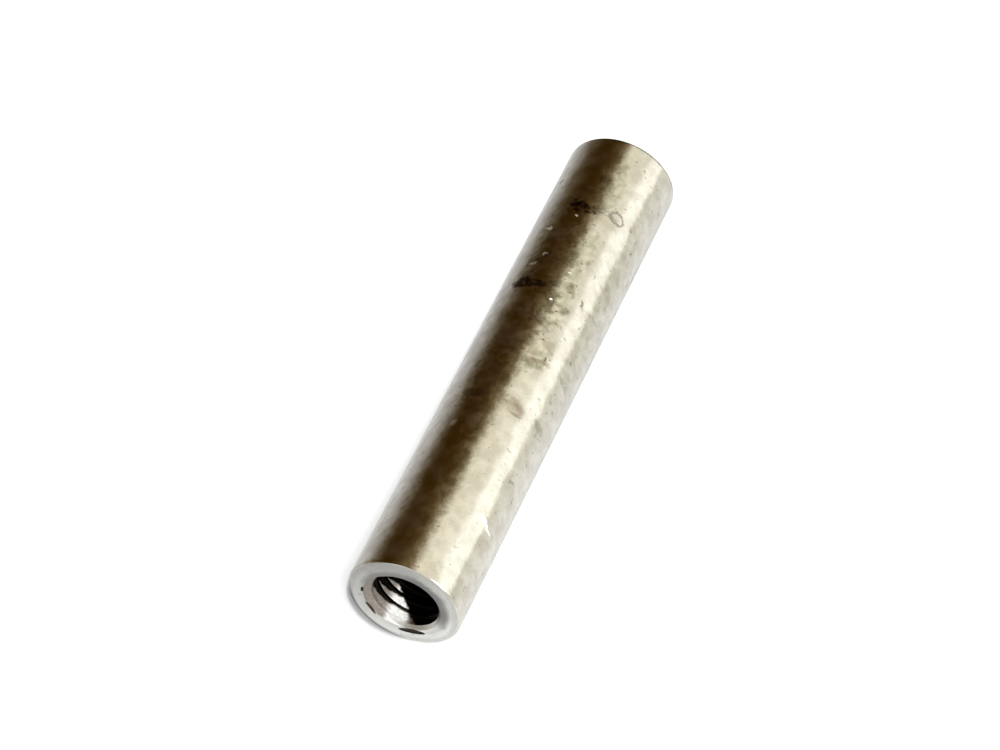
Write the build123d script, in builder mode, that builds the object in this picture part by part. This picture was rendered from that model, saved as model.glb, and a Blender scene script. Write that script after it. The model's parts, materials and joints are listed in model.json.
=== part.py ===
from build123d import *
import os

# A plain round sleeve, turned from bar, drilled through and tapped along its whole bore.
# It stands on one end face: the origin is the centre of that face and +Z is the bore's axis.

# Driving sizes, in millimetres
outer_diameter = 7.0
length = 36.0
corner_radius = 0.2  # round on the outer corner of each end
thread_diameter = 5.0  # over the crests of the screw that goes in
thread_pitch = 0.8
mouth_break = 0.2  # 45 degree break on the edge of the bore at each end

# Sizes that follow from them
outer_radius = outer_diameter / 2
drill_radius = (thread_diameter - thread_pitch) / 2  # the tapping drill
mouth_radius = drill_radius + mouth_break

os.makedirs("parts", exist_ok=True)

# The wall's section on one side of the axis, turned once round it
with BuildPart() as threaded_sleeve:
    with BuildSketch(Plane.XZ) as wall_section:
        with BuildLine():
            Polyline(
                (drill_radius, mouth_break),
                (mouth_radius, 0),
                (outer_radius, 0),
                (outer_radius, length),
                (mouth_radius, length),
                (drill_radius, length - mouth_break),
                close=True,
            )
        make_face()
        outer_corners = wall_section.vertices().group_by(Axis.X)[-1]
        fillet(outer_corners, radius=corner_radius)
    revolve(axis=Axis.Z)

threaded_sleeve.part.label = "threaded_sleeve"
export_step(threaded_sleeve.part, "parts/threaded_sleeve.step")
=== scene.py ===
import json
import math

import bpy
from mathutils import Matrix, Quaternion, Vector


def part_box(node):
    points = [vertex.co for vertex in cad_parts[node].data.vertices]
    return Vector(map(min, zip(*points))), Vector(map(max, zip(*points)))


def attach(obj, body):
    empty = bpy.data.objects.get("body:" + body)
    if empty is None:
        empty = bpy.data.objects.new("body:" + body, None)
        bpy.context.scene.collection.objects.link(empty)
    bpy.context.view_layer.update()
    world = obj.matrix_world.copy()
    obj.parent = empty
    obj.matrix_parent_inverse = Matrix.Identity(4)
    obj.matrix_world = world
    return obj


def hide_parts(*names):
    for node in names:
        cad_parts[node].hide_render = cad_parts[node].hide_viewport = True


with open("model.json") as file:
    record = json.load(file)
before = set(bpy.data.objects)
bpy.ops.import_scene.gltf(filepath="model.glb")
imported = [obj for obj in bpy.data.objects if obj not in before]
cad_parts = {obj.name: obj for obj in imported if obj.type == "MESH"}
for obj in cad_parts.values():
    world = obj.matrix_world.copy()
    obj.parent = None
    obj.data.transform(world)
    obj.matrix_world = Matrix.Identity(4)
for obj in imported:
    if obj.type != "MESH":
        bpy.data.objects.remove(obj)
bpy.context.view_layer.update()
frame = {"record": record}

# The sleeve is modelled in millimetres and made metres when it is finished.
MM = 0.001


def mount(name):
    """The record's mount of that name."""
    return next(m for m in frame["record"]["mounts"] if m["name"] == name)


# Sizes that the frame gives
node_low, node_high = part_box("threaded_sleeve")
outer_radius = (node_high.x - node_low.x) / 2 / MM
length = (node_high.z - node_low.z) / MM
crest_radius = mount("thread_top")["dims"]["r_mm"]
mouth_break = (length - mount("thread_top")["dims"]["length_mm"]) / 2
mouth_radius = crest_radius + mouth_break

# Sizes that the frame doesn't name
CORNER_RADIUS = 0.2
THREAD_PITCH = 0.8
ROOT_RADIUS = 2.5
HALF_ROOT_FLAT = THREAD_PITCH / 16  # of the flat at the bottom of the groove
FLANK_LEAN = math.radians(30)
CREST_EASE = 0.025  # how far the thread's corners are worn back
PILOT_RADIUS = 1.0  # the blank's bore, which the tap then clears away
# At +X the middle of the groove is this high above the bottom end, and a pitch higher each turn.
GROOVE_START = 0.73
SPARE_TURNS = 2  # of the tap, beyond each end of the sleeve
# Dents in the top face: degrees round from -Y, radius, half length, half width, depth, tilt in degrees
DENTS = (
    (104, 2.56, 0.24, 0.09, 0.1, -8),
    (141, 2.50, 0.55, 0.1, 0.1, 0),
    (208, 2.46, 0.85, 0.19, 0.16, 0),
)

# How finely the mesh is made
BARREL_STEPS = 256
CORNER_STEPS = 10
THREAD_STEPS = 128
DENT_STEPS = 24
SMOOTH_ANGLE = math.radians(25)
WELD_DISTANCE = 0.0001
BISECT_TOLERANCE = 0.00001
PICK_TOLERANCE = 0.001


# Modelling


def activate(piece):
    bpy.ops.object.select_all(action="DESELECT")
    piece.select_set(True)
    bpy.context.view_layer.objects.active = piece


def pick_vertices(piece, wanted):
    """In edit mode, selects just the vertices whose place passes the test."""
    bpy.ops.mesh.select_all(action="DESELECT")
    bpy.ops.object.mode_set(mode="OBJECT")
    for vertex in piece.data.vertices:
        vertex.select = wanted(vertex.co)
    bpy.ops.object.mode_set(mode="EDIT")


def weld_all():
    """In edit mode, merges the vertices that lie on each other."""
    bpy.ops.mesh.select_all(action="SELECT")
    bpy.ops.mesh.remove_doubles(threshold=WELD_DISTANCE)


def draw_line(name, points):
    """Draws a line of (radius, height) points beside the axis and leaves it in edit mode."""
    bpy.ops.object.select_all(action="DESELECT")
    first = points[0]
    # a small plane, merged to the one vertex that the line grows from
    bpy.ops.mesh.primitive_plane_add(size=0.1, location=(first[0], 0, first[1]))
    line = bpy.context.object
    line.name = name
    bpy.ops.object.transform_apply(location=True, rotation=True, scale=True)
    bpy.ops.object.mode_set(mode="EDIT")
    bpy.ops.mesh.select_mode(type="VERT")
    bpy.ops.mesh.select_all(action="SELECT")
    bpy.ops.mesh.merge(type="CENTER")
    for here, there in zip(points, points[1:]):
        step = (there[0] - here[0], 0, there[1] - here[1])
        bpy.ops.mesh.extrude_vertices_move(TRANSFORM_OT_translate={"value": step})
    return line


def turn_blank():
    """The bar faced to length, its corners rounded and its mouths broken, over a pilot bore."""
    pilot_depth = mouth_radius - PILOT_RADIUS
    section = [
        (PILOT_RADIUS, pilot_depth),
        (mouth_radius, 0),
        (outer_radius, 0),
        (outer_radius, length),
        (mouth_radius, length),
        (PILOT_RADIUS, length - pilot_depth),
        (PILOT_RADIUS, pilot_depth),
    ]
    blank = draw_line("sleeve_metal", section)
    weld_all()
    pick_vertices(blank, lambda place: place.x > outer_radius - PICK_TOLERANCE)
    bpy.ops.mesh.bevel(offset=CORNER_RADIUS, segments=CORNER_STEPS, affect="VERTICES")
    bpy.ops.mesh.select_all(action="SELECT")
    bpy.ops.mesh.spin(steps=BARREL_STEPS, angle=math.tau, center=(0, 0, 0), axis=(0, 0, 1))
    weld_all()
    bpy.ops.mesh.normals_make_consistent(inside=False)
    bpy.ops.object.mode_set(mode="OBJECT")
    return blank


def thread_profile():
    """One pitch of the thread as (radius, height), its groove's middle at height 0, corners eased."""
    half_groove = HALF_ROOT_FLAT + (ROOT_RADIUS - crest_radius) * math.tan(FLANK_LEAN)
    corners = [
        (crest_radius, half_groove - THREAD_PITCH),
        (crest_radius, -half_groove),
        (ROOT_RADIUS, -HALF_ROOT_FLAT),
        (ROOT_RADIUS, HALF_ROOT_FLAT),
        (crest_radius, half_groove),
        (crest_radius, THREAD_PITCH - half_groove),
    ]
    eased = []
    for before, corner, after in zip(corners, corners[1:], corners[2:]):
        for end in (before, after):
            share = CREST_EASE / math.dist(corner, end)
            eased.append((
                corner[0] + (end[0] - corner[0]) * share,
                corner[1] + (end[1] - corner[1]) * share,
            ))
    return eased + [(crest_radius, eased[0][1] + THREAD_PITCH)]


def make_tap():
    """A tap as long as the sleeve and more, with the thread's form on it."""
    start = GROOVE_START - SPARE_TURNS * THREAD_PITCH
    tap = draw_line("tap", [(radius, height + start) for radius, height in thread_profile()])
    bpy.ops.object.mode_set(mode="OBJECT")
    winding = tap.modifiers.new("winding", "SCREW")
    winding.screw_offset = THREAD_PITCH
    winding.iterations = math.ceil(length / THREAD_PITCH) + 2 * SPARE_TURNS
    winding.steps = winding.render_steps = THREAD_STEPS
    bpy.ops.object.modifier_apply(modifier="winding")
    bpy.ops.object.mode_set(mode="EDIT")
    weld_all()
    for height, above in ((-THREAD_PITCH / 2, False), (length + THREAD_PITCH / 2, True)):
        bpy.ops.mesh.select_all(action="SELECT")
        bpy.ops.mesh.bisect(
            plane_co=(0, 0, height),
            plane_no=(0, 0, 1),
            use_fill=True,
            clear_outer=above,
            clear_inner=not above,
            threshold=BISECT_TOLERANCE,
        )
    bpy.ops.mesh.select_all(action="SELECT")
    bpy.ops.mesh.normals_make_consistent(inside=False)
    bpy.ops.object.mode_set(mode="OBJECT")
    return tap


def cut_away(piece, tool):
    """Cuts the tool's shape out of the piece, with the tool's own material, and throws the tool away."""
    activate(piece)
    cut = piece.modifiers.new("cut", "BOOLEAN")
    cut.operation = "DIFFERENCE"
    cut.solver = "EXACT"
    cut.material_mode = "TRANSFER"
    cut.object = tool
    bpy.ops.object.modifier_apply(modifier="cut")
    bpy.data.objects.remove(tool)


def dent_top(sleeve, dent, dent_shade):
    """Gouges one dent into the top face, filled with near-black painted shade."""
    turn, radius, half_length, half_width, depth, tilt = dent
    bpy.ops.object.select_all(action="DESELECT")
    bpy.ops.mesh.primitive_uv_sphere_add(segments=DENT_STEPS, ring_count=DENT_STEPS // 2, radius=1)
    ball = bpy.context.object
    ball.scale = (half_width, half_length, depth)
    ball.rotation_euler = (0, 0, math.radians(turn - 90 + tilt))
    turn = math.radians(turn)
    ball.location = (radius * math.sin(turn), -radius * math.cos(turn), length)
    bpy.ops.object.transform_apply(location=True, rotation=True, scale=True)
    ball.data.materials.append(dent_shade)
    cut_away(sleeve, ball)


def finish_blank(blank):
    """Gives the blank's faces their metal: the barrel with its rounded corners, and the faced ends."""
    blank.data.materials.append(barrel_metal())
    blank.data.materials.append(faced_metal())
    # a little more than halfway in over the rounded corner
    barrel_starts = outer_radius - CORNER_RADIUS * 0.6
    for face in blank.data.polygons:
        radius = math.hypot(face.center.x, face.center.y)
        face.material_index = 0 if radius > barrel_starts else 1


def model_sleeve():
    sleeve = turn_blank()
    finish_blank(sleeve)
    # the dents get near-black painted shade
    dent_shade = packed_dirt()
    for dent in DENTS:
        dent_top(sleeve, dent, dent_shade)
    tap = make_tap()
    tap.data.materials.append(tapped_metal())
    cut_away(sleeve, tap)
    activate(sleeve)
    sleeve.scale = (MM, MM, MM)
    bpy.ops.object.transform_apply(location=False, rotation=False, scale=True)
    bpy.ops.object.shade_smooth_by_angle(angle=SMOOTH_ANGLE)
    return sleeve


# Colours and marks

WHITE = (1, 1, 1, 1)
BLACK = (0, 0, 0, 1)

BARREL_DARK = (0.61, 0.59, 0.54, 1)
BARREL_LIGHT = (0.75, 0.735, 0.69, 1)
WORN_DARK = (0.48, 0.48, 0.41, 1)
WORN_LIGHT = (0.80, 0.80, 0.74, 1)
BROWN_TINT = (0.70, 0.62, 0.53, 1)
GREEN_TINT = (0.62, 0.67, 0.56, 1)
SPOT = (0.22, 0.20, 0.145, 1)
PIT = (0.06, 0.05, 0.035, 1)
RUST = (0.30, 0.20, 0.10, 1)
BLOTCH = (0.26, 0.21, 0.15, 1)
SMUDGE = (0.30, 0.23, 0.17, 1)
STAIN = (0.075, 0.055, 0.035, 1)
SCRATCH = (1.0, 1.0, 0.98, 1)
# painted shade for the bottom corner
FOOT_PAINTED_SHADE = (0.08, 0.07, 0.055, 1)
# painted shade on the top rim's far side
RIM_PAINTED_SHADE = (0.07, 0.07, 0.07, 1)

FACE_DARK = (0.50, 0.495, 0.475, 1)
FACE_LIGHT = (0.97, 0.97, 0.95, 1)
# painted shade round the mouth
MOUTH_PAINTED_SHADE = (0.13, 0.13, 0.125, 1)
MOUTH_SHADED = (0.10, 0.10, 0.095, 1)
TOOL_BAND = (0.34, 0.335, 0.33, 1)
FACE_SPECK = (0.25, 0.245, 0.24, 1)

# painted light and shade for the thread
THREAD_PAINTED_SHADE = (0.22, 0.195, 0.17, 1)
THREAD_PAINTED_LIGHT = (0.70, 0.695, 0.675, 1)
THREAD_BROWN_SHADE = (0.066, 0.045, 0.033, 1)
# painted shadow deep in the bore
BORE_SHADOW = (0.010, 0.008, 0.006, 1)
# near-black painted shade for the dents
DENT_PAINTED_SHADE = (0.008, 0.006, 0.005, 1)

# Bump heights of 1 stand this high on the metal.
BUMP_HEIGHT = 0.02 * MM

# Sides of the top face, as directions: where its rim gets painted shade, where it gets painted
# light, and where its mouth is in shade
RIM_SHADE_SIDE = (0.5, 0.866, 0)
PAINTED_LIGHT_SIDE = (-0.707, 0.707, 0)
SHADED_SIDE = (-0.707, -0.707, 0)

# The line beyond which painted shadow, cast by the rim, blackens the thread: how its distance from the
# end grows along X and Y
SHADOW_SLANT = (1.02, 0.72, 0)
SHADOW_REACH = 0.15  # its distance from the end at the axis
SHADOW_WANDER = 0.7  # how far it strays from that, from one side to the other

# A mark is solid out to a share of its half widths, and has faded out a little past them.
SOLID_SHARE = 0.7
SMUDGE_SOLID_SHARE = 0.2
FADED_OUT = 1.15
# A ring is faint in its middle. Between the first two, as shares of its half widths, the share of
# its depth that shows grows from the third to the fourth.
RING_HOLLOW = (0.45, 0.85, 0.15, 1.0)

# The barrel's marks: degrees round from -Y, height, half width, half height, tilt in degrees, depth
STAINS = (
    (20, 6.55, 0.85, 0.16, 0, 0.95),
    (27, 6.1, 0.85, 0.36, -12, 1.0),
    (46, 13.15, 0.75, 0.5, 5, 1.0),
    (31, 13.1, 0.8, 0.3, 0, 0.85),
    (33, 22.4, 0.85, 0.34, 6, 0.5),
    (-43, 22.4, 0.65, 0.26, -5, 0.28),
    (-23, 13.2, 0.42, 0.13, 120, 0.7),
    (-40, 13.3, 1.0, 0.09, 0, 0.25),
    (-47, 18.6, 0.6, 0.24, -20, 0.26),
    (6, 16.8, 0.4, 0.16, 25, 0.4),
    (-59, 2.75, 0.25, 0.11, 10, 0.3),
    (66, 3.6, 0.2, 0.15, 0, 0.6),
    (-55, 31.1, 0.5, 0.2, 20, 0.14),
)
# Tide rings, where a drop has dried
TIDE_RINGS = (
    (-15, 6.0, 0.55, 0.5, -20, 0.75),
    (0, 6.1, 0.9, 0.22, -6, 0.6),
    (-9, 22.5, 0.75, 0.5, 0, 0.22),
)
# Brown smudges, thinner than the stains
SMUDGES = (
    (-9, 22.45, 0.95, 0.5, -8, 0.8),
    (-12, 22.95, 0.7, 0.16, 10, 1.0),
    (4, 22.3, 0.45, 0.2, -30, 1.0),
    (-6, 22.05, 0.5, 0.13, 0, 0.8),
    (-9, 18.7, 1.1, 0.2, 14, 0.95),
    (-2, 18.3, 0.6, 0.35, 30, 0.7),
    (-12, 17.2, 0.7, 0.4, 30, 0.5),
    (8, 17.4, 0.6, 0.3, 0, 0.5),
    (14, 12.4, 0.6, 0.5, 0, 0.5),
)
WORN_PATCHES = (
    (2, 14.2, 1.0, 2.6, 0, 1.0),
    (2, 9.8, 0.9, 2.4, 0, 0.7),
    (0, 18.2, 1.3, 1.6, 0, 0.75),
    (8, 26, 0.5, 9, 0, 0.45),
    (6, 4, 0.9, 3.5, 0, 0.55),
    (-50, 12, 1.2, 7, 0, 0.25),
    (45, 10, 0.9, 4, 0, 0.5),
)
RUSTY_PATCHES = (
    (28, 18, 1.1, 19, 0, 0.4),
    (28, 13, 1.2, 6, 0, 0.5),
)
BLOTCHED_PATCHES = (
    (12, 15, 0.6, 11, 0, 0.45),
    (15, 29, 0.5, 5, 0, 0.3),
    (30, 20, 1.2, 5, 0, 0.4),
)
# Scratches and nicks, brighter than the metal round them
BRIGHT_MARKS = (
    (-39, 30.45, 0.75, 0.16, -22, 1.0),
    (-33, 30.15, 0.35, 0.1, 0, 0.7),
    (8, 14.1, 0.12, 0.12, 0, 1.0),
    (3, 11.6, 0.12, 0.1, 0, 0.8),
    (47, 8.3, 0.35, 0.12, -30, 0.35),
    (36, 10.6, 0.25, 0.12, 40, 0.3),
    (44, 11.4, 0.3, 0.1, 20, 0.3),
    (24, 7.0, 0.1, 0.1, 0, 0.5),
    (40, 25, 0.3, 0.3, 0, 0.12),
)


# Materials


def new_material(name):
    """A material, its node tree, and the shader in it."""
    material = bpy.data.materials.new(name)
    material.use_nodes = True
    return material, material.node_tree, material.node_tree.nodes["Principled BSDF"]


def add(tree, kind, inputs=(), **settings):
    """Adds a node, sets its properties, and links or sets its inputs by place."""
    node = tree.nodes.new(kind)
    for name, value in settings.items():
        setattr(node, name, value)
    for socket, value in zip(node.inputs, inputs):
        if isinstance(value, bpy.types.NodeSocket):
            tree.links.new(value, socket)
        else:
            socket.default_value = value
    return node


def math_node(tree, operation, *inputs):
    return add(tree, "ShaderNodeMath", inputs, operation=operation).outputs[0]


def times(tree, first, second):
    return math_node(tree, "MULTIPLY", first, second)


def add_share(tree, base, share, value):
    """The base plus a share of the value."""
    return math_node(tree, "MULTIPLY_ADD", value, share, base)


def ramp(tree, value, low, high, low_out=0.0, high_out=1.0):
    """Eases from one result to the other as the value goes from low to high."""
    node = add(
        tree,
        "ShaderNodeMapRange",
        (value, low, high, low_out, high_out),
        interpolation_type="SMOOTHSTEP",
    )
    return node.outputs[0]


def ramp_line(tree, value, low, high, low_out, high_out):
    """Goes from one result to the other in a straight line."""
    return add(tree, "ShaderNodeMapRange", (value, low, high, low_out, high_out)).outputs[0]


def join_xyz(tree, x, y, z):
    return add(tree, "ShaderNodeCombineXYZ", (x, y, z)).outputs[0]


def along(tree, point, direction):
    """How far the point lies along the direction."""
    node = add(tree, "ShaderNodeVectorMath", (point, direction), operation="DOT_PRODUCT")
    return node.outputs["Value"]


def reach_of(tree, point):
    """How far the point is from the origin."""
    return add(tree, "ShaderNodeVectorMath", (point,), operation="LENGTH").outputs["Value"]


def stretch(tree, point, factors):
    return add(tree, "ShaderNodeVectorMath", (point, factors), operation="MULTIPLY").outputs[0]


def scale_evenly(tree, vector, factor):
    node = add(tree, "ShaderNodeVectorMath", (vector,), operation="SCALE")
    node.inputs["Scale"].default_value = factor
    return node.outputs[0]


def turn_from_front(tree, x, y):
    """The angle round the axis from -Y towards +X."""
    return math_node(tree, "ARCTAN2", x, times(tree, y, -1.0))


def noise(tree, point, scale, detail, roughness=0.5, output="Fac"):
    """A cloudy pattern. Its scale is the number of clouds to a millimetre."""
    node = tree.nodes.new("ShaderNodeTexNoise")
    tree.links.new(point, node.inputs["Vector"])
    node.inputs["Scale"].default_value = scale
    node.inputs["Detail"].default_value = detail
    node.inputs["Roughness"].default_value = roughness
    return node.outputs[output]


def mix_colour(tree, share, under, over):
    """The colour under, with a share of the colour over it."""
    node = tree.nodes.new("ShaderNodeMix")
    node.data_type = "RGBA"
    factor, first, second = node.inputs[0], node.inputs[6], node.inputs[7]
    for socket, value in ((factor, share), (first, under), (second, over)):
        if isinstance(value, bpy.types.NodeSocket):
            tree.links.new(value, socket)
        else:
            socket.default_value = value
    return node.outputs[2]


def emboss(tree, shader, height, strength):
    """Gives the metal fine relief, without moving its mesh."""
    bump = tree.nodes.new("ShaderNodeBump")
    bump.inputs["Strength"].default_value = strength
    bump.inputs["Distance"].default_value = BUMP_HEIGHT
    tree.links.new(height, bump.inputs["Height"])
    tree.links.new(bump.outputs[0], shader.inputs["Normal"])


class Place:
    """Where on the sleeve a point is, in millimetres, as sockets of a material's nodes."""

    def __init__(self, tree):
        own = tree.nodes.new("ShaderNodeTexCoord").outputs["Object"]
        self.point = scale_evenly(tree, own, 1 / MM)
        self.x, self.y, self.height = add(tree, "ShaderNodeSeparateXYZ", (self.point,)).outputs
        squares = [math_node(tree, "POWER", side, 2.0) for side in (self.x, self.y)]
        self.radius = math_node(tree, "POWER", math_node(tree, "ADD", *squares), 0.5)
        # the barrel unrolled: how far round from -Y, and how high
        around = times(tree, turn_from_front(tree, self.x, self.y), outer_radius)
        self.unrolled = join_xyz(tree, around, self.height, 0.0)


def mark_mask(tree, unrolled, mark, ring, solid_share):
    """How strongly one mark shows, from 0 to its depth."""
    turn, height, half_width, half_height, tilt, depth = mark
    local = tree.nodes.new("ShaderNodeMapping")
    local.vector_type = "TEXTURE"
    tree.links.new(unrolled, local.inputs["Vector"])
    local.inputs["Location"].default_value = (math.radians(turn) * outer_radius, height, 0)
    local.inputs["Rotation"].default_value = (0, 0, math.radians(tilt))
    local.inputs["Scale"].default_value = (half_width, half_height, 1)
    reach = reach_of(tree, local.outputs[0])
    mask = ramp(tree, reach, FADED_OUT, solid_share, 0.0, depth)
    if ring:
        mask = times(tree, mask, ramp(tree, reach, *RING_HOLLOW))
    return mask


def all_marks(tree, unrolled, marks, ring=False, solid_share=SOLID_SHARE):
    """How strongly the strongest of the marks shows."""
    masks = [mark_mask(tree, unrolled, mark, ring, solid_share) for mark in marks]
    result = masks[0]
    for mask in masks[1:]:
        result = math_node(tree, "MAXIMUM", result, mask)
    return result


def ragged_unrolled(tree, place):
    """The barrel unrolled, with each place pushed a little astray, so that marks have ragged edges."""
    colour = noise(tree, place.point, 2.2, 4.0, 0.65, output="Color")
    astray = add(tree, "ShaderNodeVectorMath", (colour, (0.5, 0.5, 0.5)), operation="SUBTRACT")
    push = scale_evenly(tree, astray.outputs[0], 0.8)
    return add(tree, "ShaderNodeVectorMath", (place.unrolled, push), operation="ADD").outputs[0]


def clean_barrel(tree, point, mottle, worn):
    """The barrel's colour before its marks: mottled, and flecked and tinted where it is worn."""
    tone = mix_colour(tree, ramp(tree, mottle, 0.35, 0.68), BARREL_DARK, BARREL_LIGHT)
    flecks = ramp(tree, noise(tree, point, 1.7, 3.0), 0.35, 0.65)
    tone = mix_colour(tree, worn, tone, mix_colour(tree, flecks, WORN_DARK, WORN_LIGHT))
    # tinted here greenish and there brownish
    green_share = ramp(tree, noise(tree, point, 0.8, 2.0), 0.38, 0.62)
    tint = mix_colour(tree, green_share, BROWN_TINT, GREEN_TINT)
    return mix_colour(tree, ramp_line(tree, worn, 0.0, 1.0, 0.0, 0.35), tone, tint)


def aged_barrel(tree, point, ragged, worn, tone):
    """Adds the spots and pits of worn metal, specks of rust, and blotches."""
    spots = ramp(tree, noise(tree, point, 1.5, 3.0, 0.58), 0.40, 0.70)
    tone = mix_colour(tree, times(tree, spots, worn), tone, SPOT)
    pits = ramp(tree, noise(tree, point, 2.9, 2.0), 0.66, 0.71)
    pits = times(tree, pits, ramp_line(tree, worn, 0.0, 1.0, 0.35, 0.9))
    tone = mix_colour(tree, pits, tone, PIT)
    rust = ramp(tree, noise(tree, point, 2.6, 3.0, 0.62), 0.52, 0.66)
    rust = times(tree, rust, all_marks(tree, ragged, RUSTY_PATCHES))
    tone = mix_colour(tree, rust, tone, RUST)
    blotches = ramp(tree, noise(tree, point, 1.25, 3.0, 0.6), 0.48, 0.60)
    blotches = times(tree, blotches, all_marks(tree, ragged, BLOTCHED_PATCHES))
    return mix_colour(tree, blotches, tone, BLOTCH)


def stained_barrel(tree, point, ragged, tone):
    """Adds the smudges, and over them the stains and tide rings."""
    smudges = all_marks(tree, ragged, SMUDGES, solid_share=SMUDGE_SOLID_SHARE)
    thinned = ramp(tree, noise(tree, point, 1.7, 4.0, 0.65), 0.36, 0.62, 0.3, 1.0)
    tone = mix_colour(tree, times(tree, smudges, thinned), tone, SMUDGE)
    stains = all_marks(tree, ragged, STAINS)
    stains = times(tree, stains, ramp(tree, noise(tree, point, 3.0, 3.0), 0.33, 0.52, 0.45, 1.0))
    stains = math_node(tree, "MAXIMUM", stains, all_marks(tree, ragged, TIDE_RINGS, ring=True))
    return mix_colour(tree, stains, tone, STAIN)


def paint_rim_shade(tree, place, tone):
    """Painted shade: darkens the top rim on the side that points away from the camera and partly towards
    +X.
    """
    rim = ramp(tree, place.radius, 3.1, 3.34)
    rim = times(tree, rim, ramp(tree, along(tree, place.point, RIM_SHADE_SIDE), 1.9, 3.0))
    rim = times(tree, rim, ramp(tree, place.height, length - 0.5, length - 0.2, 0.0, 0.8))
    return mix_colour(tree, rim, tone, RIM_PAINTED_SHADE)


def barrel_relief(tree, point, mottle):
    """Broad waves, ripples, and fine lines round the bar from turning and wiping."""
    waves = noise(tree, point, 0.38, 1.0)
    ripples = noise(tree, stretch(tree, point, (1.0, 1.0, 1.5)), 1.0, 3.0, 0.6)
    lines = noise(tree, stretch(tree, point, (0.15, 0.15, 14.0)), 1.0, 2.0)
    relief = add_share(tree, times(tree, waves, 14.0), 3.0, ripples)
    relief = add_share(tree, relief, 0.25, lines)
    return math_node(tree, "ADD", relief, mottle)


def barrel_metal():
    """Bright turned metal, faintly mottled, with dried-on marks and a few scratches."""
    material, tree, shader = new_material("barrel_metal")
    place = Place(tree)
    ragged = ragged_unrolled(tree, place)
    mottle = noise(tree, place.point, 1.1, 5.0, 0.6)
    worn = all_marks(tree, ragged, WORN_PATCHES)
    scratches = all_marks(tree, ragged, BRIGHT_MARKS)
    tone = clean_barrel(tree, place.point, mottle, worn)
    tone = aged_barrel(tree, place.point, ragged, worn, tone)
    tone = stained_barrel(tree, place.point, ragged, tone)
    tone = mix_colour(tree, scratches, tone, SCRATCH)
    # painted shade along the bottom corner, where the sleeve stands on the floor
    foot = ramp(tree, add_share(tree, place.height, 0.25, mottle), 0.40, 0.25, 0.0, 0.85)
    tone = mix_colour(tree, foot, tone, FOOT_PAINTED_SHADE)
    # painted shade on the top rim's far side
    tree.links.new(paint_rim_shade(tree, place, tone), shader.inputs["Base Color"])
    # a breath of dust lies on the metal, and the scratches are a little duller
    metallic = ramp(tree, mottle, 0.35, 0.7, 1.0, 0.993)
    metallic = math_node(tree, "SUBTRACT", metallic, times(tree, scratches, 0.3))
    tree.links.new(metallic, shader.inputs["Metallic"])
    roughness = ramp(tree, mottle, 0.3, 0.7, 0.11, 0.18)
    roughness = add_share(tree, roughness, 0.2, scratches)
    roughness = add_share(tree, roughness, 0.05, worn)
    tree.links.new(roughness, shader.inputs["Roughness"])
    emboss(tree, shader, barrel_relief(tree, place.point, mottle), 0.35)
    return material


def face_tone(tree, place, mottle, relief):
    """Painted light brighter to one side, painted shade round the mouth, banded and specked."""
    # painted light: the face grows brighter towards one side
    toward_light = add_share(tree, along(tree, place.point, PAINTED_LIGHT_SIDE), 4.0, relief)
    tone = mix_colour(tree, ramp_line(tree, toward_light, -1.4, 4.6, 0.0, 1.0), FACE_DARK, FACE_LIGHT)
    # painted shade round the mouth on the side of the camera, and most of all between -X and -Y
    mouth_shade = ramp(tree, add_share(tree, place.radius, 0.4, mottle), 3.05, 2.65)
    mouth_shade = times(tree, mouth_shade, ramp(tree, place.y, 0.9, -0.6, 0.0, 0.6))
    tone = mix_colour(tree, mouth_shade, tone, MOUTH_PAINTED_SHADE)
    shaded = ramp(tree, add_share(tree, place.radius, 0.3, mottle), 3.15, 2.75)
    shaded_side = along(tree, place.point, SHADED_SIDE)
    shaded = times(tree, shaded, ramp(tree, shaded_side, 1.0, 2.0, 0.0, 0.5))
    tone = mix_colour(tree, shaded, tone, MOUTH_SHADED)
    # broad bands left by the tool, here brighter and there duller round the end
    band_place = join_xyz(
        tree,
        times(tree, place.radius, 2.6),
        times(tree, place.x, 0.35),
        times(tree, place.y, 0.35),
    )
    bands = ramp(tree, noise(tree, band_place, 1.0, 2.0, 0.55), 0.38, 0.62, 0.0, 0.30)
    tone = mix_colour(tree, bands, tone, TOOL_BAND)
    specks = ramp(tree, noise(tree, place.point, 3.6, 3.0, 0.6), 0.60, 0.70, 0.0, 0.35)
    return mix_colour(tree, specks, tone, FACE_SPECK)


def faced_metal():
    """The faced ends and the broken edges of the bore, with fine rings from the tool."""
    material, tree, shader = new_material("faced_metal")
    place = Place(tree)
    ring_place = join_xyz(
        tree, times(tree, place.radius, 9.0), times(tree, place.height, 9.0), 0.0
    )
    rings = noise(tree, ring_place, 1.0, 3.0)
    mottle = noise(tree, place.point, 1.6, 4.0, 0.6)
    relief = math_node(tree, "ADD", times(tree, rings, 0.5), times(tree, mottle, 0.5))
    tone = face_tone(tree, place, mottle, relief)
    # painted shade on the top rim's far side
    tree.links.new(paint_rim_shade(tree, place, tone), shader.inputs["Base Color"])
    shader.inputs["Metallic"].default_value = 1.0
    tree.links.new(ramp(tree, relief, 0.3, 0.7, 0.36, 0.46), shader.inputs["Roughness"])
    emboss(tree, shader, relief, 0.4)
    return material


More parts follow.
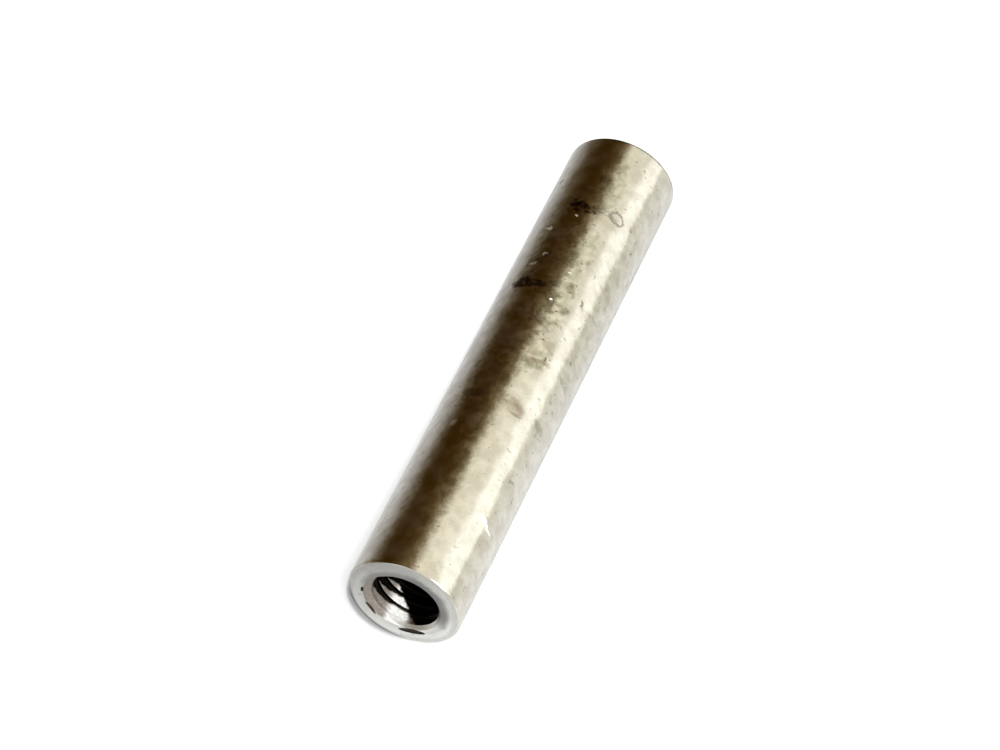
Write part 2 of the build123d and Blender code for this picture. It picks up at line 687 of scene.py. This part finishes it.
def paint_bore_shadow(tree, place, from_end, wander):
    """Where painted shadow blackens the thread deep in the bore: past a slanting, ragged line, and up
    its flanks on one side.
    """
    ragged = add_share(tree, SHADOW_REACH - SHADOW_WANDER / 2, SHADOW_WANDER, wander)
    line = math_node(tree, "ADD", along(tree, place.point, SHADOW_SLANT), ragged)
    past_line = ramp(tree, math_node(tree, "SUBTRACT", from_end, line), -0.2, 0.1)
    # on the +X side it climbs the flanks from their crests, more with depth
    climb = times(
        tree, add_share(tree, 0.2, 0.30, from_end), math_node(tree, "MAXIMUM", place.x, 0.0)
    )
    climb = add_share(tree, crest_radius - 0.05, 0.3, climb)
    climb = add_share(tree, climb, 0.25, math_node(tree, "SUBTRACT", wander, 0.5))
    climbed = ramp(tree, math_node(tree, "SUBTRACT", climb, place.radius), -0.05, 0.05)
    climbed = times(tree, climbed, ramp(tree, from_end, 0.45, 0.75))
    return math_node(tree, "MAXIMUM", past_line, climbed)


def thread_tone(tree, place, torn, wander):
    """Painted light and shade: dark towards +X, bright across the middle, brown and dark towards -X, and
    darker where torn.
    """
    # painted shade towards +X and a painted highlight across the middle
    side = add_share(tree, times(tree, place.x, -1.0), 0.9, noise(tree, place.point, 1.6, 3.0))
    tone = mix_colour(tree, ramp(tree, side, -0.5, 0.05), THREAD_PAINTED_SHADE, THREAD_PAINTED_LIGHT)
    # painted shade, brown, towards -X
    browned_shade = ramp(tree, add_share(tree, place.x, 0.5, wander), -0.12, -0.60)
    tone = mix_colour(tree, browned_shade, tone, THREAD_BROWN_SHADE)
    darker = mix_colour(tree, 0.25, tone, BLACK)
    return mix_colour(tree, ramp(tree, torn, 0.35, 0.6), darker, tone)


def tapped_metal():
    """The thread: matt torn flanks, smoother crests, and a black painted shadow deep in the bore."""
    material, tree, shader = new_material("tapped_metal")
    place = Place(tree)
    torn = noise(tree, place.point, 5.0, 4.0, 0.6)
    wander = noise(tree, place.point, 2.5, 3.0)
    # how deep in the bore, from the nearer end
    from_top = math_node(tree, "SUBTRACT", length, place.height)
    from_end = math_node(tree, "MINIMUM", place.height, from_top)
    # painted shadow that the mouth's rim casts deep into the bore
    bore_shadow = paint_bore_shadow(tree, place, from_end, wander)
    tone = thread_tone(tree, place, torn, wander)
    tree.links.new(mix_colour(tree, bore_shadow, tone, BORE_SHADOW), shader.inputs["Base Color"])
    # the flanks are matt, as are the crests of the first turn, but not under the painted shadow, which
    # is left glossy
    matt = ramp(tree, place.radius, crest_radius + 0.01, crest_radius + 0.07)
    matt = math_node(tree, "MAXIMUM", matt, ramp(tree, from_end, 0.8, 0.6))
    matt = times(tree, matt, math_node(tree, "SUBTRACT", 1.0, bore_shadow))
    tree.links.new(ramp(tree, matt, 0.0, 1.0, 1.0, 0.4), shader.inputs["Metallic"])
    tree.links.new(ramp(tree, matt, 0.0, 1.0, 0.35, 0.5), shader.inputs["Roughness"])
    emboss(tree, shader, torn, 0.3)
    return material


def packed_dirt():
    material, _, shader = new_material("packed_dirt")
    shader.inputs["Base Color"].default_value = DENT_PAINTED_SHADE
    shader.inputs["Roughness"].default_value = 0.6
    return material


def bare_material(name):
    """A material with nothing but its output."""
    material, tree, shader = new_material(name)
    tree.nodes.remove(shader)
    return material, tree


def show(tree, node):
    """Makes the node what the material shows."""
    tree.links.new(node.outputs[0], tree.nodes["Material Output"].inputs["Surface"])


def glow_material(name, colour, strength):
    material, tree = bare_material(name)
    show(tree, add(tree, "ShaderNodeEmission", (colour, strength)))
    return material


# The stage

FLOOR_SIZE = 8
FLOOR_COLOUR = (0.8, 0.8, 0.8, 1)
# The floor's own glow to the camera rises twice: from and to a distance in metres, and its glow there.
NEAR_GLOW = (0.06, 0.15, 0.05, 0.5)
FAR_GLOW = (0.15, 0.6, 0.0, 0.45)

TENT_RADIUS = 150
TENT_FOOT = -3000
TENT_TOP = 250
TENT_SIDES = 180
# The tent's glow rises between two levels, to light the cards that the sleeve's top reflects.
TENT_GLOW = 2.0
TENT_GLOW_ABOVE = 2.14
GLOW_RISE = (-100, -75)
PALE_CLOTH = (0.85, 0.84, 0.80, 1)

# What the barrel sees round it: degrees from -Y towards +X, and its colour. One dark card
# and one bright panel stand among pale ones.
TENT_CARDS = (
    (-180, (0.68, 0.68, 0.67)),
    (-160, (0.76, 0.76, 0.74)),
    (-148, (0.93, 0.93, 0.90)),
    (-126, (0.99, 0.98, 0.95)),
    (-80, (0.87, 0.845, 0.73)),
    (-73, (0.82, 0.79, 0.67)),
    (-66, (1.44, 1.42, 1.27)),
    (-42, (1.46, 1.44, 1.31)),
    (-32, (1.08, 1.035, 0.87)),
    (4, (1.00, 0.94, 0.75)),
    (20, (0.23, 0.165, 0.078)),
    (34, (0.093, 0.054, 0.016)),
    (48, (0.058, 0.028, 0.004)),
    (66, (0.043, 0.018, 0.0015)),
    (80, (0.060, 0.034, 0.008)),
    (96, (0.155, 0.12, 0.075)),
    (120, (0.47, 0.45, 0.43)),
    (150, (0.70, 0.70, 0.69)),
    (180, (0.77, 0.77, 0.77)),
)
# The dark card's far edge leans. At this level it stands where the table says, and this far below
# and above that level it is this angle to one side and to the other.
CARD_LEVEL = -98
CARD_HALF_HEIGHT = 25
CARD_LEAN = math.radians(7)
# Round the tent, the lean comes in from the one angle to the next and goes out by the other two.
LEAN_IN = (math.radians(62), math.radians(100))
LEAN_OUT = (math.radians(175), math.radians(150))

FILL_LIGHT = 0.22

# The camera, from the photograph's perspective
CAMERA_DISTANCE = 220.27
CAMERA_LIFT = math.radians(37.36)
CAMERA_ROLL = math.radians(-152.58)
CAMERA_LENS = 132.05
AIM_POINT = Vector((1.112, 0.114, 18.159))


def lay_floor():
    """A pale floor that shows white to the camera and keeps the sleeve's shadow."""
    bpy.ops.object.select_all(action="DESELECT")
    bpy.ops.mesh.primitive_plane_add(size=FLOOR_SIZE)
    floor = bpy.context.object
    floor.name = "floor"
    material, tree = bare_material("pale_floor")
    matt = add(tree, "ShaderNodeBsdfDiffuse", (FLOOR_COLOUR,))
    # the glow grows with distance, as the lamps' light falls off
    here = tree.nodes.new("ShaderNodeTexCoord").outputs["Object"]
    distance = reach_of(tree, here)
    near, far = ramp(tree, distance, *NEAR_GLOW), ramp(tree, distance, *FAR_GLOW)
    seen = tree.nodes.new("ShaderNodeLightPath").outputs["Is Camera Ray"]
    strength = times(tree, seen, math_node(tree, "ADD", near, far))
    glow = add(tree, "ShaderNodeEmission", (WHITE, strength))
    show(tree, add(tree, "ShaderNodeAddShader", (matt.outputs[0], glow.outputs[0])))
    floor.data.materials.append(material)
    floor.visible_glossy = False


def see_in_reflections_only(piece):
    piece.visible_camera = False
    piece.visible_diffuse = False
    piece.visible_shadow = False
    piece.visible_transmission = False


def card_cloth():
    """The tent's wall, in the colours of its cards."""
    material, tree = bare_material("tent_cards")
    here = tree.nodes.new("ShaderNodeTexCoord").outputs["Object"]
    x, y, z = add(tree, "ShaderNodeSeparateXYZ", (here,)).outputs
    turn = turn_from_front(tree, x, y)
    # the dark card's far edge leans: its place moves with height
    height = add_share(tree, (TENT_TOP + TENT_FOOT) / 2, 1 / MM, z)
    foot, top = CARD_LEVEL - CARD_HALF_HEIGHT, CARD_LEVEL + CARD_HALF_HEIGHT
    lean = ramp_line(tree, height, foot, top, -CARD_LEAN, CARD_LEAN)
    lean = times(tree, lean, ramp(tree, turn, *LEAN_IN))
    lean = times(tree, lean, ramp(tree, turn, *LEAN_OUT))
    leaning = math_node(tree, "ADD", turn, lean)
    share = math_node(tree, "ADD", math_node(tree, "DIVIDE", leaning, math.tau), 0.5)
    cards = add(tree, "ShaderNodeValToRGB", (share,))
    stops = cards.color_ramp.elements
    while len(stops) < len(TENT_CARDS):
        stops.new(0.5)
    for stop, (degrees, _) in zip(stops, TENT_CARDS):
        stop.position = degrees / 360 + 0.5
    for stop, (_, colour) in zip(stops, TENT_CARDS):
        stop.color = [part / TENT_GLOW for part in colour] + [1]
    strength = ramp_line(tree, height, *GLOW_RISE, TENT_GLOW, TENT_GLOW_ABOVE)
    show(tree, add(tree, "ShaderNodeEmission", (cards.outputs[0], strength)))
    return material


def raise_tent():
    """Cards all round the sleeve, under a pale roof. Only its reflections see them."""
    bpy.ops.object.select_all(action="DESELECT")
    bpy.ops.mesh.primitive_cylinder_add(
        vertices=TENT_SIDES,
        radius=TENT_RADIUS * MM,
        depth=(TENT_TOP - TENT_FOOT) * MM,
        location=(0, 0, (TENT_TOP + TENT_FOOT) / 2 * MM),
        end_fill_type="NOTHING",
    )
    wall = bpy.context.object
    wall.name = "tent_wall"
    wall.data.materials.append(card_cloth())
    see_in_reflections_only(wall)
    bpy.ops.mesh.primitive_circle_add(
        vertices=TENT_SIDES,
        radius=TENT_RADIUS * MM,
        location=(0, 0, TENT_TOP * MM),
        fill_type="NGON",
    )
    roof = bpy.context.object
    roof.name = "tent_roof"
    roof.data.materials.append(glow_material("pale_cloth", PALE_CLOTH, 1.0))
    see_in_reflections_only(roof)


def outward(turn, lift):
    """A direction away from the sleeve, from degrees round from -Y and degrees above the floor."""
    turn, lift = math.radians(turn), math.radians(lift)
    return Vector((
        math.sin(turn) * math.cos(lift),
        -math.cos(turn) * math.cos(lift),
        math.sin(lift),
    ))


def hang_card(name, turn, lift, distance, width, height, colour, strength):
    """A glowing card that faces the sleeve's mouth, and that only reflections see."""
    back = outward(turn, lift)
    bpy.ops.object.select_all(action="DESELECT")
    bpy.ops.mesh.primitive_plane_add(size=1)
    card = bpy.context.object
    card.name = name
    card.scale = (width * MM, height * MM, 1)
    card.location = Vector((0, 0, length * MM)) + back * distance * MM
    card.rotation_euler = back.to_track_quat("Z", "Y").to_euler()
    card.data.materials.append(glow_material(name, colour, strength))
    see_in_reflections_only(card)


def add_lamp(name, turn, lift, distance, size, power):
    """A square soft lamp that faces the sleeve's middle."""
    back = outward(turn, lift)
    bpy.ops.object.light_add(type="AREA")
    lamp = bpy.context.object
    lamp.name = name
    lamp.data.size = size * MM
    lamp.data.energy = power
    lamp.location = Vector((0, 0, length / 2 * MM)) + back * distance * MM
    lamp.rotation_euler = (-back).to_track_quat("-Z", "Y").to_euler()
    lamp.visible_glossy = False


def light_the_stage():
    """A surround that is white to the camera but gives little light, and two lamps near the camera."""
    world = bpy.data.worlds.new("studio")
    bpy.context.scene.world = world
    world.use_nodes = True
    tree = world.node_tree
    rays = tree.nodes.new("ShaderNodeLightPath").outputs
    seen = math_node(tree, "MAXIMUM", rays["Is Camera Ray"], rays["Is Glossy Ray"])
    seen = math_node(tree, "MAXIMUM", seen, rays["Is Transmission Ray"])
    background = tree.nodes["Background"]
    background.inputs["Color"].default_value = WHITE
    strength = ramp_line(tree, seen, 0.0, 1.0, FILL_LIGHT, 1.0)
    tree.links.new(strength, background.inputs["Strength"])
    add_lamp("beside_the_camera", turn=-0.80, lift=35.35, distance=420, size=8, power=1.9)
    add_lamp("behind_the_camera", turn=-0.75, lift=33.43, distance=1500, size=6, power=25)


def place_camera():
    bpy.ops.object.camera_add()
    camera = bpy.context.object
    back = Vector((0, -math.cos(CAMERA_LIFT), math.sin(CAMERA_LIFT)))
    camera.location = (Vector((0, 0, length / 2)) + back * CAMERA_DISTANCE) * MM
    look = AIM_POINT * MM - camera.location
    roll = Quaternion((0, 0, 1), CAMERA_ROLL)
    camera.rotation_mode = "QUATERNION"
    camera.rotation_quaternion = look.to_track_quat("-Z", "Y") @ roll
    camera.data.lens = CAMERA_LENS
    camera.data.clip_start = 0.01
    camera.data.clip_end = 20
    bpy.context.scene.camera = camera


sleeve = model_sleeve()
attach(sleeve, "root")
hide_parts("threaded_sleeve")
lay_floor()
raise_tent()
hang_card(
    "bore_panel",
    turn=-42,
    lift=30,
    distance=120,
    width=60,
    height=40,
    colour=(1.0, 0.98, 0.94, 1),
    strength=8.0,
)
light_the_stage()
place_camera()
bpy.context.scene.view_settings.view_transform = "Standard"
